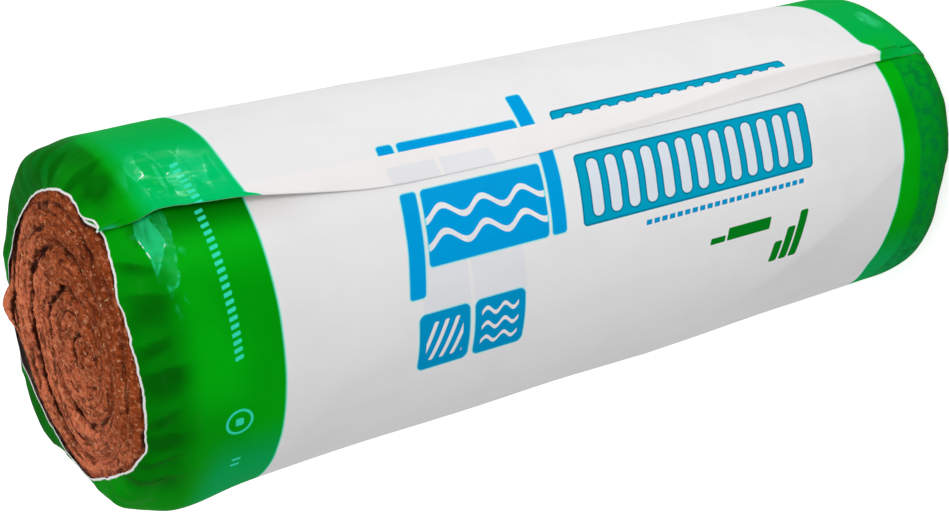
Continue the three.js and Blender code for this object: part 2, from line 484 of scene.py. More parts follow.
def sheet_place(along, around):
    """Where a point of the sheet lies, in metres, and what the print, the hem and the painted shade need to
    know of it.
    """
    turned = straight_through(AROUND, around)
    angle = LAP_ANGLE + turned
    out, height, lean_out, lean_up, down, from_rim, from_foot_rim = plain_place(along, angle)
    angle += (through(LAP_EDGE, down) - LAP_ANGLE) * hump(turned, 0, 17)

    outer, under = turned < SHEET_MIDDLE, turned > SHEET_MIDDLE
    top_fold, top_wedge_shade = pleat_height(TOP_PLEATS, angle, from_rim)
    foot_fold, foot_wedge_shade = pleat_height(FOOT_PLEATS, angle, from_foot_rim)
    calm = 1 - 0.85 * round_hump(angle, 132, 38)  # the film lies smooth behind the lap
    full = fullness(angle, down, from_rim)
    side = ramp(from_rim, 0, 120) * ramp(from_foot_rim, 0, 120)

    stand = lap_height(turned, angle, down) + full + shoulder_facets(angle, down)
    stand += top_fold * calm + foot_fold * 0.6 * ramp(1.3 - from_foot_rim / 60)
    stand += side * (slack(angle, down) + corner_dent(angle, down) * under)
    stand += crumple(angle, down, 42, -102, 10, 28, 1.5) * 1.4 * under
    stand += max(0.0, crumple(angle, down, 62, -60, 11, 40, 4.5)) * 1.2 * outer
    stand += crumple(angle, down, 12, 985, 45, 26, 8.5) * 0.5
    stand += ramp(from_rim, 9, 0) * (1.5 + 1.2 * drift(angle / 9, 1.3))  # the hem curls out
    stand += 0.6 * drift(angle / 1.9, from_rim / 18, 2.2) * ramp(from_rim, 38, 0) * calm
    stand += 0.7 * drift(angle / 2.4, from_foot_rim / 18, 6.2) * ramp(from_foot_rim, 38, 0)
    stand += 4 * hump(turned, 0, 1.7) * ramp(from_rim, 16, 0)  # and the lap's corner most
    stand = max(stand, -DRAWN_IN_AT_RIM - (DRAWN_IN_INLAND - DRAWN_IN_AT_RIM) * ramp(from_rim, 0, 24))
    if height < FOOT_SIDE:
        stand = min(stand, 1.5 + max(0.0, full))
    place = at(angle, out + stand * lean_out, height + stand * lean_up)
    place.z = max(place.z, FLOOR_GAP)
    # the painted shade for the green, from the tall folds' steep sides and the shoulders
    depth = fold_shade(angle, down, max(top_wedge_shade * calm, foot_wedge_shade))
    return place * MM, angle, down, min(from_rim, 2 * from_foot_rim), depth


def make_film_sleeve():
    """One flat sheet, wrapped round the roll and lapped, with its ends drawn in over the shoulders."""
    bm = bmesh.new()
    bmesh.ops.create_grid(bm, x_segments=ALONG_ROWS, y_segments=AROUND_COLUMNS, size=0.5)
    sheet_map = bm.loops.layers.uv.new("sheet")
    rim_layer = bm.verts.layers.float.new("from_rim")
    # the painted shade of the green, for the print to read
    fold_shade_layer = bm.verts.layers.float.new("fold_shade")
    printed_at = {}
    for v in bm.verts:
        v.co, angle, down, from_rim, depth = sheet_place(v.co.x + 0.5, v.co.y + 0.5)
        v[rim_layer] = from_rim
        v[fold_shade_layer] = depth
        printed_at[v] = (down * MM, sheet_run(angle) * MM)
    for face in bm.faces:
        face.smooth = True
        for loop in face.loops:
            loop[sheet_map].uv = printed_at[loop.vert]
    bm.normal_update()
    # The sheet is open, so one face of its side tells which way all of them point.
    facing = next(f for f in bm.faces if abs(f.calc_center_median().z - MIDDLE_HEIGHT) < 0.05)
    middle = facing.calc_center_median()
    if facing.normal.x * middle.x + facing.normal.y * middle.y < 0:
        bmesh.ops.reverse_faces(bm, faces=bm.faces)
    sleeve = finish_mesh(bm, "film_sleeve")
    wall = sleeve.modifiers.new("thickness", "SOLIDIFY")
    wall.thickness = FILM_WALL * MM
    wall.offset = -1
    wall.use_even_offset = False
    wall.material_offset = 1
    wall.material_offset_rim = 1
    sleeve.data.materials.append(printed_film())
    sleeve.data.materials.append(plain_film())
    return sleeve


def finish_mesh(bm, name):
    mesh = bpy.data.meshes.new(name)
    bm.to_mesh(mesh)
    bm.free()
    return put_in_scene(name, mesh)


# ---------------- wound wool

WOOL_SEGMENTS = 470
TOP_RINGS = 124
FOOT_RINGS = 42
RING_EDGE = 192  # the end faces are fine out to here, and the film covers the rest
TUFT_ANGLE = -170.5
TUFT_OUT = 176
FIBRES = 460  # tried; those too near the rim are left out
FIBRE_RADIUS = 0.12
FIBRE_REACH = 168  # how far from the axis they stand

wool_shoulder = Shoulder(RADIUS - WOOL_GAP, SHOULDER_LENGTH - WOOL_GAP, SHOULDER_DROP - WOOL_GAP)


def winding(x, y):
    """(distance from the winding's own centre, angle round it, turns wound so far) at a place on an end."""
    pull = CORE_FORWARD / RADIUS
    ahead = y + CORE_FORWARD
    across = 1 - pull * pull
    out = (-ahead * pull + math.sqrt(ahead**2 * pull**2 + across * (ahead**2 + x**2))) / across
    forward = CORE_FORWARD * (1 - out / RADIUS)
    angle = math.degrees(math.atan2(x, -(y + forward)))
    wander = 3.6 * drift(x / 21, y / 21, 6.0) + 1.8 * drift(x / 8, y / 8, 9.0)
    wander = wander * (0.35 + 0.65 * ramp(out, 0, 90)) + 5.5 * drift(x / 60, y / 60, 2.0)
    turns = (out + wander - CORE_RADIUS) / MAT_THICKNESS - (angle - CORE_START) / 360
    return out, angle, turns


def wool_relief(x, y, seed):
    """(height, painted shade in the grooves, splits and fine lines) of the cut end of the mat."""
    out, angle, turns = winding(x, y)
    a = math.radians(angle)

    def drawn_out(stretch, layer):
        """Noise that runs along the turns."""
        return drift(math.cos(a) * stretch, math.sin(a) * stretch, layer + seed)

    def patchy(long, wide, layer):
        return drift(x / long, y / wide, seed + layer)

    in_turn = turns - math.floor(turns)
    from_groove = min(in_turn, 1 - in_turn) * MAT_THICKNESS
    from_middle = abs(in_turn - 0.5)
    broken = 0.9 + 0.7 * patchy(26, 26, 17)
    shut = 0.8 * round_hump(angle, 108, 26) * ramp(out, 125, 140)
    strength = (0.72 - 0.45 * math.cos(a) + 0.6 * drawn_out(2.64, out / 50)) * broken
    strength = min(1.1, max(0.12, strength)) * (1 - shut)
    ragged = 1 + 0.75 * patchy(8, 10, 15)
    width = (2.2 + 1.5 * ramp(out, 30, 90)) * ragged
    groove = strength * math.exp(-((from_groove / width) ** 2.4))
    # painted shade, a little wider than the groove
    groove_shade = strength * math.exp(-((from_groove / (1.35 * width)) ** 3))
    near_core = ramp(out, 92, 62)
    fine_line = near_core * (0.15 + 0.5 * broken) * hump(from_middle * MAT_THICKNESS, 0, 1.9 * ragged)
    split = ramp(drawn_out(2.42, out / 8 + 3), 0.26, 0.42)
    split *= (0.5 + 0.6 * patchy(20, 20, 4)) * (1 - 0.75 * near_core)
    fluff = 1 - 2 * abs(patchy(4.6, 8, 2))
    fluffy = 0.6 - 0.3 * math.cos(a) + 0.4 * patchy(60, 60, 11)
    height = (
        3.2 * (1 - (2 * from_middle) ** 2)  # each turn is rounded
        + 2.6 * drawn_out(1.1, math.floor(turns + 0.001) * 0.9)  # and some stand prouder
        - 5.0 * groove
        - 2.4 * fine_line
        - 3.0 * split
        + 1.5 * drawn_out(2.86, out / 7)
        + 1.2 * patchy(8, 13, 1)
        + 1.5 * fluff * fluffy
        + 0.8 * patchy(2.4, 4.2, 7)
    )
    return height, min(1.0, 0.85 * groove_shade + 0.8 * split + 0.75 * fine_line)


def wool_profile():
    """Half the roll's outline in metres, from the middle of the top round to the middle of the foot."""
    reach = wool_shoulder.length_to(1)
    face_start = wool_shoulder.length_to(RING_EDGE)
    turn_in = SHOULDER_LENGTH - WOOL_GAP
    top_lengths = [reach + (face_start - reach) * i / TOP_RINGS for i in range(1, TOP_RINGS + 1)]
    top_lengths += [face_start * share for share in (0.66, 0.33, 0)]
    foot_lengths = [face_start * share for share in (0, 0.33, 0.66)]
    foot_lengths += [face_start + (reach - face_start) * i / FOOT_RINGS for i in range(FOOT_RINGS)]
    points = [(0, WOOL_TOP)]
    points += [(out, WOOL_TOP - turn_in + rise) for out, rise, *_ in map(wool_shoulder.at, top_lengths)]
    points.append((wool_shoulder.radius, (WOOL_TOP + WOOL_FOOT) / 2))
    points += [(out, WOOL_FOOT + turn_in - rise) for out, rise, *_ in map(wool_shoulder.at, foot_lengths)]
    points.append((0, WOOL_FOOT))
    return [Vector((0, -out * MM, height * MM)) for out, height in points]


def make_wound_wool():
    """The wound mat as one turned body, with the turns, splits and tufts of its cut ends."""
    bm = bmesh.new()
    profile = [bm.verts.new(p) for p in wool_profile()]
    line = [bm.edges.new(pair) for pair in zip(profile, profile[1:])]
    bmesh.ops.spin(
        bm, geom=profile + line, cent=(0, 0, 0), axis=(0, 0, 1), angle=2 * math.pi,
        steps=WOOL_SEGMENTS, use_merge=True, use_normal_flip=False, use_duplicate=False,
    )
    bmesh.ops.remove_doubles(bm, verts=bm.verts, dist=0.05 * MM)
    bmesh.ops.recalc_face_normals(bm, faces=bm.faces)
    hollow_shade_layer = bm.verts.layers.float.new("hollow_shade")
    winding_layer = bm.verts.layers.float_vector.new("winding")
    for v in bm.verts:
        shape_wool_point(v, hollow_shade_layer, winding_layer)
    for face in bm.faces:
        face.smooth = True
    wool = finish_mesh(bm, "wound_wool")
    wool.data.materials.append(mineral_wool())
    return wool


def shape_wool_point(v, hollow_shade_layer, winding_layer):
    """Moves a point of the plain turned body to where the worked wool has it, and marks the painted shade of
    its grooves and just inside the film's rim.
    """
    x, y, height = (c / MM for c in v.co)
    out = math.hypot(x, y)
    angle = math.degrees(math.atan2(x, -y))
    wound_out, wound_angle, _ = winding(x, y)
    a = math.radians(wound_angle)
    v[winding_layer] = Vector((math.cos(a), math.sin(a), wound_out * MM))
    if height < (WOOL_TOP + WOOL_FOOT) / 2:
        if out <= RING_EDGE - 1:
            relief, v[hollow_shade_layer] = wool_relief(x, y, 40.0)
            v.co.z += max(0.0, 2 - 0.8 * relief) * MM  # the crests stay on the floor
        return
    rim = top_rim_radius(angle)
    at_rim = hump(out, rim - 1, 7)
    to_film = 0.0
    if at_rim > 0.05:
        to_film = TOP_SIDE + film_shoulder.at(film_shoulder.length_to(max(out, 120)))[1] - height
    v.co.z += (to_film - 1.6) * at_rim * MM  # just under the film at its rim, and well under it further out
    v.co.z -= 14 * ramp(out, rim + 1, rim + 10) * ramp(height, TOP_SIDE, TOP_SIDE + 10) * MM
    if out > RING_EDGE - 1:
        return
    relief, hollow_shade = wool_relief(x, y, 0.0)
    open_share = ramp(out, rim - 1, rim - 14)
    dome = 3.0 * open_share * ramp(out, rim, rim - 40)
    tuft = round_hump(angle, TUFT_ANGLE, 7) * hump(out, TUFT_OUT, 13)
    rise = relief * (0.12 + 0.88 * open_share) * (1 - 0.5 * tuft) + dome + 9 * tuft
    v.co += at(angle, 14 * tuft, rise) * MM
    # a painted shadow just inside the film's rim, weaker in places
    rim_shadow = (0.5 + 0.7 * drift(angle / 8, out / 30, 5.5)) * (1 - 0.8 * round_hump(angle, 112, 32))
    v[hollow_shade_layer] = max(hollow_shade, rim_shadow * hump(out, rim - 3, 3.5))


def make_wool_fibres():
    """Loose ends of fibre that stand out of the cut end, each a short thin bent strand."""
    draw = random.Random(5)
    data = bpy.data.curves.new("wool_fibres", "CURVE")
    data.dimensions = "3D"
    data.bevel_depth = FIBRE_RADIUS * MM
    data.bevel_resolution = 0
    data.use_fill_caps = True
    for _ in range(FIBRES):
        out = FIBRE_REACH * math.sqrt(draw.random())
        angle = draw.uniform(-180, 180)
        if out > top_rim_radius(angle) - 6:
            continue
        place = at(angle, out, 0)
        relief, _ = wool_relief(place.x, place.y, 0.0)
        wound_angle = math.radians(winding(place.x, place.y)[1])
        along = Vector((math.cos(wound_angle), math.sin(wound_angle), 0))
        along = (along + Vector((draw.uniform(-1, 1), draw.uniform(-1, 1), 0)) * 0.8).normalized()
        side = Vector((-along.y, along.x, 0)) * draw.uniform(-0.5, 0.5)
        long = draw.uniform(3, 9)
        rise = draw.uniform(0.3, 2.4)
        start = place + Vector((0, 0, WOOL_TOP + relief + 2))
        strand = data.splines.new("POLY")
        strand.points.add(3)
        for i, point in enumerate(strand.points):
            t = i / 3
            p = start + along * long * (t - 0.5) + side * long * t * t
            p.z += rise * math.sin(math.pi * t) - 1.2 * abs(2 * t - 1)
            point.co = (*(p * MM), 1)
    curve = put_in_scene("wool_fibre_curves", data)
    mesh = bpy.data.meshes.new_from_object(curve.evaluated_get(bpy.context.evaluated_depsgraph_get()))
    bpy.data.objects.remove(curve)
    mesh.name = "wool_fibres"
    mesh.materials.clear()
    mesh.materials.append(loose_fibre())
    return put_in_scene("wool_fibres", mesh)


# ---------------- wiring of materials


class Signal:
    """A value that a node gives. Arithmetic with it makes Math nodes."""

    def __init__(self, wires, socket):
        self.wires, self.socket = wires, socket

    def __add__(self, other):
        return self.wires.calc("ADD", self, other)

    def __sub__(self, other):
        return self.wires.calc("SUBTRACT", self, other)

    def __rsub__(self, other):
        return self.wires.calc("SUBTRACT", other, self)

    def __mul__(self, other):
        return self.wires.calc("MULTIPLY", self, other)

    def __truediv__(self, other):
        return self.wires.calc("DIVIDE", self, other)

    def __abs__(self):
        return self.wires.calc("ABSOLUTE", self)


class Wiring:
    """Makes and joins the nodes of one material or node group."""

    def __init__(self, tree):
        self.tree = tree
        tree.nodes.clear()

    def node(self, kind, inputs=(), **settings):
        made = self.tree.nodes.new(kind)
        for name, value in settings.items():
            setattr(made, name, value)
        for name, value in dict(inputs).items():
            self.feed(made.inputs[name], value)
        return made

    def feed(self, socket, value):
        if isinstance(value, Signal):
            value = value.socket
        if isinstance(value, bpy.types.NodeSocket):
            self.tree.links.new(value, socket)
        else:
            socket.default_value = value

    def take(self, kind, inputs=(), output=0, **settings):
        """One output of a new node."""
        return Signal(self, self.node(kind, inputs, **settings).outputs[output])

    def calc(self, operation, *values):
        return self.take("ShaderNodeMath", enumerate(values), operation=operation)

    def most(self, *values):
        return reduce(partial(self.calc, "MAXIMUM"), values)

    def least(self, *values):
        return reduce(partial(self.calc, "MINIMUM"), values)

    def fade(self, value, start, end):
        """0 where value is start, 1 where it is end, smooth between."""
        inputs = {"Value": value, "From Min": start, "From Max": end, "To Min": 0.0, "To Max": 1.0}
        return self.take("ShaderNodeMapRange", inputs, interpolation_type="SMOOTHSTEP")

    def mix(self, share, under, over):
        inputs = {"Factor": share, 6: under, 7: over}
        return self.take("ShaderNodeMix", inputs, output=2, data_type="RGBA", blend_type="MIX")

    def noise(self, place, scale, detail=3.0, roughness=0.5):
        inputs = {"Vector": place, "Scale": scale, "Detail": detail, "Roughness": roughness}
        return self.take("ShaderNodeTexNoise", inputs, "Fac")

    def cell_edge(self, place, scale):
        """How far a place is from the edge of its cell."""
        inputs = {"Vector": place, "Scale": scale}
        return self.take("ShaderNodeTexVoronoi", inputs, "Distance", feature="DISTANCE_TO_EDGE")

    def vector(self, operation, inputs):
        return self.take("ShaderNodeVectorMath", inputs, operation=operation)

    def scaled(self, place, x, y, z):
        return self.take("ShaderNodeMapping", {"Vector": place, "Scale": (x, y, z)})

    def bent(self, place, stretch, size):
        """A place scaled by axis, and moved by a wandering shift of up to about half a size each way."""
        wander = self.take("ShaderNodeTexNoise", {"Vector": place, "Scale": 20.0, "Detail": 1.0}, "Color")
        centred = self.vector("SUBTRACT", {0: wander, 1: (0.5, 0.5, 0.5)})
        shift = self.vector("SCALE", {0: centred, "Scale": size})
        return self.vector("ADD", {0: self.scaled(place, *stretch), 1: shift})

    def parts(self, vector):
        """The X, Y and Z of a vector."""
        return [Signal(self, part) for part in self.node("ShaderNodeSeparateXYZ", {"Vector": vector}).outputs]

    def attribute(self, name, output="Fac"):
        return self.take("ShaderNodeAttribute", (), output, attribute_name=name)

    def object_place(self):
        return self.take("ShaderNodeTexCoord", (), "Object")


def colour(red, green, blue):
    """A colour given as it looks on a screen, 0 to 255, as the shader takes it."""
    linear = [((c / 255 + 0.055) / 1.055) ** 2.4 if c > 10 else c / 255 / 12.92 for c in (red, green, blue)]
    return (*linear, 1.0)


def new_group(name, inputs, outputs):
    """An empty node group: (group, wiring, its inputs by name, a function that feeds an output)."""
    group = bpy.data.node_groups.new(name, "ShaderNodeTree")
    wires = Wiring(group)
    for socket, kind in inputs.items():
        group.interface.new_socket(socket, in_out="INPUT", socket_type=kind)
    for socket, kind in outputs.items():
        group.interface.new_socket(socket, in_out="OUTPUT", socket_type=kind)
    start = group.nodes.new("NodeGroupInput")
    end = group.nodes.new("NodeGroupOutput")

    def put_out(socket, value):
        wires.feed(end.inputs[socket], value)

    return group, wires, {socket: Signal(wires, start.outputs[socket]) for socket in inputs}, put_out


FLOAT, POINT, PAINT = "NodeSocketFloat", "NodeSocketVector", "NodeSocketColor"


def rounded_box_group():
    """How far a place is outside a slanted box with round corners; below 0 inside it."""
    names = ("Along", "Across", "Half Long", "Half Tall", "Slant", "Corner")
    group, w, given, put_out = new_group("rounded_box", dict.fromkeys(names, FLOAT), {"Distance": FLOAT})
    along = given["Along"] - given["Across"] * given["Slant"]
    past_long = abs(along) - (given["Half Long"] - given["Corner"])
    past_tall = abs(given["Across"]) - (given["Half Tall"] - given["Corner"])
    x, y = w.most(past_long, 0.0), w.most(past_tall, 0.0)
    inside = w.least(w.most(past_long, past_tall), 0.0)
    put_out("Distance", w.calc("SQRT", x * x + y * y) + inside - given["Corner"])
    return group


def crinkle_group():
    """The fine unevenness of thin film: height for a bump."""
    group, w, given, put_out = new_group("film_crinkle", {"Place": POINT, "Crush": FLOAT}, {"Height": FLOAT})
    place = given["Place"]
    soft = w.noise(place, 14.0, 2.0, 0.5)
    kept = w.fade(w.noise(place, 4.5, 1.0), 0.46, 0.62)
    creases = w.fade(w.cell_edge(w.bent(place, (1.0, 1.0, 0.55), 0.03), 7.0), 0.10, 0.0) * kept
    folds = w.fade(w.cell_edge(w.scaled(place, 1.0, 1.0, 0.6), 55.0), 0.0, 0.35)
    sharp = w.noise(place, 95.0, 4.0, 0.62)
    put_out("Height", soft * 0.8 + (folds * 0.5 + sharp * 0.8) * given["Crush"] + creases * 0.7)
    return group


BOX = rounded_box_group()
CRINKLE = crinkle_group()

# ---------------- print


class Stamp:
    """Draws the print's motifs from distances and masks, in millimetres along and across the print."""

    EDGE = 0.35

    def __init__(self, wires, along, across):
        self.w, self.along, self.across = wires, along, across

    def filled(self, distance):
        return self.w.fade(distance, self.EDGE, -self.EDGE)

    def line(self, distance, width):
        return self.w.fade(distance, width / 2 + self.EDGE, width / 2 - self.EDGE)

    def box_distance(self, along, across, long, tall, slant, corner):
        inputs = {"Along": along, "Across": across, "Half Long": long / 2, "Half Tall": tall / 2,
                  "Slant": slant, "Corner": corner}
        return self.w.take("ShaderNodeGroup", inputs, node_tree=BOX)

    def box(self, x, y, long, tall, slant=0.0, corner=3):
        """Distance to a box whose middle is at x, y."""
        return self.box_distance(self.along - x, self.across - y, long, tall, slant, corner)

    def row(self, start, end, y, pitch, long, tall, slant, corner):
        """Distance to the nearest of a row of like boxes between start and end."""
        across = self.across - y
        upright = self.along - (start + end) / 2 - across * slant
        shifted = upright + round((end - start) / pitch) * pitch / 2
        nearest = self.w.calc("MODULO", shifted, pitch) - pitch / 2
        return self.box_distance(nearest, across, long, tall, 0.0, corner)

    def disc(self, x, y, radius):
        along, across = self.along - x, self.across - y
        return self.w.calc("SQRT", along * along + across * across) - radius

    def waves(self, x, y, pitch, height, width):
        """A wavy line that runs along."""
        wave = self.w.calc("SINE", (self.along - x) / pitch * (2 * math.pi)) * height
        return self.line(abs(self.across - y - wave), width)


PRINT_PERIOD = 613.3  # the print repeats about twice round the roll
PRINT_TOP = sheet_run(400.8)  # where the front one's upper edge lies on the sheet
PRINT_BELOW = 300  # how much of a period lies below that edge
SLANT = 0.16  # of the large motifs
SMALL_SLANT = 0.2
MAIN_LINE = -41.5  # across the print, the middle of the large motifs
DASH_LINE = -97
SQUARE_LINE = -166
MARK_LINE = -54  # down, the middle of the marks on the green

WHITE = colour(238, 237, 238)
MARGIN = colour(241, 238, 237)
GHOST = colour(214, 221, 232)
GREEN = (0.0, 0.32, 0.002, 1.0)
# painted reflections: a teal tint over the top and the back, brighter on the flap, and low on the front
GREEN_TOP_REFLECTION = (0.0, 0.44, 0.07, 1.0)
GREEN_FLAP_SHEEN = (0.0, 0.56, 0.15, 1.0)
GREEN_LOW_REFLECTION = (0.0, 0.40, 0.09, 1.0)
GREEN_THIN = (0.0, 0.46, 0.004, 1.0)
# painted shade and shadow on the green
GREEN_DEEP = (0.0, 0.14, 0.001, 1.0)
GREEN_DULL = (0.0, 0.20, 0.035, 1.0)
MINT = colour(60, 235, 200)
BAND_GLOW = colour(90, 235, 200)
EDGE_GLOW = colour(70, 228, 232)
BLUE = colour(0, 158, 224)
SQUARE_BLUE = colour(0, 150, 205)
TEAL = colour(0, 160, 196)
DARK_TEAL = colour(0, 128, 160)
PALE = colour(222, 230, 238)
DARK_GREEN = colour(0, 128, 28)
# painted glints on the green
GLINT_MINT = colour(20, 226, 150)
# the film's inside, for the hem; also the brightest painted glints
INSIDE_WHITE = colour(246, 248, 246)
# the painted shadow under the lap, on the white
LAP_SHADE = colour(196, 178, 164)
BLACK = (0.0, 0.0, 0.0, 1.0)

DENT_ON_SHEET = 1145  # round the sheet, where the slanted line's point lies
LAP_SHADE_EDGE = 1292  # round the sheet, just under the free edge
# (down, place round the sheet, tall, wide) of the patches of painted glints
GLINT_PATCHES = ((-105, 1264, 24, 38), (-100, 1225, 9, 40), (-58, 52, 52, 42), (990, 74, 16, 22))


def lap_glints(w, sheet, down, round_sheet):
    """Painted glints where the film is crumpled, mostly by the lap's upper end: facets, lines and streaks."""
    masks = []
    for centre_down, centre_round, tall, wide in GLINT_PATCHES:
        x, y = (down - centre_down) / tall, (round_sheet - centre_round) / wide
        masks.append(w.fade(x * x + y * y, 1.4, 0.2))
    bent = w.bent(sheet, (1.0, 0.42, 1.0), 0.012)
    cells = w.take("ShaderNodeTexVoronoi", {"Vector": bent, "Scale": 46.0}, "Color")
    facet = w.fade(w.take("ShaderNodeSeparateColor", {"Color": cells}), 0.35, 1.0)
    broken = w.fade(w.noise(sheet, 75.0, 2.0, 0.6), 0.44, 0.6)
    glint_streak_and_flap_shadow = w.fade(w.noise(w.scaled(sheet, 1.0, 0.13, 1.0), 85.0, 1.0, 0.5), 0.60, 0.68)
    lines = w.most(w.fade(w.cell_edge(bent, 46.0), 0.07, 0.0) * broken, glint_streak_and_flap_shadow * 0.7)
    drawn = w.fade(w.noise(w.scaled(sheet, 1.0, 0.3, 1.0), 60.0, 2.0, 0.5), 0.35, 0.6)
    return (lines * 0.5 + facet * (drawn * 0.45 + 0.25)) * w.most(*masks)


def shade_past_crease(w, down, round_sheet):
    """Painted shade on the film past the slanted crease low on the front."""
    x, y = down - DENT_START[0], round_sheet - DENT_ON_SHEET
    beyond = x * DENT_SINE - y * DENT_COSINE
    run = x * -DENT_COSINE + y * -DENT_SINE
    return w.fade(beyond, -1, 3) * w.fade(beyond, 220, 20) * w.fade(run, 360, 160)


def lap_shade(w, down, round_sheet):
    """Painted shadow on the film just below the lap's upper end, where the lifted flap shades it."""
    under_edge = LAP_SHADE_EDGE - w.fade(down, -30, 110) * 16
    return w.fade(under_edge - round_sheet, 46, 5) * (w.fade(down, 100, 0) * w.fade(down, -145, -115))


def embossed_zone(w, sheet, down, round_sheet):
    """The dull, finely pressed strip of the lower green band, below the lap."""
    past = down - (w.noise(sheet, 9.0, 1.0) * 12 + 960)
    here = w.fade(round_sheet, 860, 1000) * w.fade(round_sheet, 1300, 1270)
    line = w.fade(abs(past), 3, 1) * 0.55
    pressed = w.fade(w.noise(sheet, 70.0, 3.0, 0.6), 0.42, 0.62) * 0.5 + 0.4
    return here * w.most(line, w.fade(past, 0, 3) * pressed)


def blue_slab(w, s):
    """A slab with two white waves, and a bar past it at each end: (outline, ink)."""
    bars = w.least(s.box(169.5, -56.5, 19.8, 113, SLANT, 4), s.box(365.5, -23.5, 19.8, 119, SLANT, 4))
    slab = s.box(267.5, MAIN_LINE, 160, 83, SLANT, 5)
    outline = w.least(slab, bars)
    gaps = w.most(s.waves(200, -28, 53, 7, 7), s.waves(196, -56, 53, 7, 7)) * s.filled(slab)
    return outline, s.filled(outline) * (1.0 - gaps)


def teal_band(w, s):
    """A band of pale upright lozenges: (outline, pale ink, teal ink, dark ink of the edges)."""
    band = s.box(583, MAIN_LINE, 370, 81, SLANT, 5)
    lozenge = s.row(407, 759, MAIN_LINE, 27.08, 18, 68, SLANT, 8.5)
    in_band = s.filled(s.box(583, MAIN_LINE, 354, 78, SLANT))
    pale = s.filled(lozenge) * in_band
    edges = w.most(s.line(abs(band), 2.4), s.line(abs(lozenge), 2.2) * in_band) * s.filled(band - 1.5)
    return band, pale * s.filled(band), s.filled(band) * (1.0 - pale), edges


def dash_line(s):
    dashes = s.row(480, 744, DASH_LINE, 12, 8.6, 6, SMALL_SLANT, 1)
    return s.filled(dashes) * s.filled(s.box(612, DASH_LINE, 264, 16))


def two_squares(w, s):
    """A square with slanted stripes and one with waves: (outline, ink)."""
    outline = w.least(s.box(193, SQUARE_LINE, 66, 68, corner=8), s.box(267, SQUARE_LINE, 68, 68, corner=8))
    stripes = s.row(165, 221, SQUARE_LINE, 14, 5.5, 46, 0.45, 2)
    hatch = s.filled(stripes) * s.filled(s.box(193, SQUARE_LINE, 48, 46, corner=2))
    ripples = w.most(*(s.waves(267, SQUARE_LINE + level, 24, 4, 5) for level in (-18, 0, 18)))
    ripples = ripples * s.filled(s.box(267, SQUARE_LINE, 50, 54, corner=2))
    return outline, s.filled(outline) * (1.0 - w.most(hatch, ripples))


def green_steps(w, s):
    """A short bar, a bar and three steps."""
    bars = [s.box(646, -139, 72, 16, SMALL_SLANT, 2), s.box(594, -143, 24, 8, SMALL_SLANT, 1.5)]
    for x, tall in ((698, 28), (717, 44), (736, 62)):
        bars.append(s.box(x, -196 + tall / 2, 14, tall, SMALL_SLANT, 3))
    return s.filled(w.least(*bars))


def print_on_white(w, s, paint, printed):
    """The motifs on the white, with a light fringe where the inks meet it."""
    ghost = w.most(*(s.filled(s.box(x, -82, long, 106, corner=1)) for x, long in ((197, 62), (268, 70))))
    paint = w.mix(ghost * 0.36, paint, GHOST)
    slab, slab_ink = blue_slab(w, s)
    band, pale, teal, band_edges = teal_band(w, s)
    squares, square_ink = two_squares(w, s)
    glow = w.fade(abs(w.least(slab, band, squares)), 2.2, 0.4)
    inks = (
        (pale, PALE),
        (glow * 0.75, EDGE_GLOW),
        (slab_ink, BLUE),
        (teal, TEAL),
        (band_edges, DARK_TEAL),
        (w.most(square_ink, dash_line(s)), SQUARE_BLUE),
        (green_steps(w, s), DARK_GREEN),
    )
    for mask, ink in inks:
        paint = w.mix(mask * printed, paint, ink)
    return paint


def from_green_band(w, down, round_sheet):
    """How far a place is outside the two green bands, whose edges stray a little and step at the lap."""
    stray = w.calc("SINE", round_sheet * 0.0071) * 3.0
    tip = w.fade(round_sheet, sheet_run(LAP_ANGLE + 1.6), sheet_run(LAP_ANGLE - 0.6)) * 15
    low_stray = w.calc("SINE", round_sheet * 0.0053) * 9
    jog = w.fade(round_sheet, sheet_run(LAP_ANGLE + 9.5), sheet_run(LAP_ANGLE + 5.0)) * 13
    back_step = w.fade(round_sheet, 990, 900) * w.fade(round_sheet, 500, 800) * 16
    return w.least(down - tip + stray * 0.4, low_stray + back_step + jog + FOOT_BAND - down)


def marks_on_green(w, s, turned):
    """A row of slanted dashes, a ring with a dot, and two small dashes. turned has its axes swapped."""
    small = turned.row(-126, 36, -51.5, 8.1, 4.4, 9.5, 0.25, 1.4)
    dashes = s.filled(small) * s.filled(s.box(-51.5, -45, 22, 162))
    ring = s.line(abs(s.disc(MARK_LINE, -194, 14)), 3.0)
    dot = s.filled(s.box(MARK_LINE, -194, 9, 9, corner=2))
    ticks = s.filled(w.least(*(s.box(-50, y, 10, 4, corner=1) for y in (-252, -262))))
    return w.most(dashes, ring, dot, ticks) * 0.8


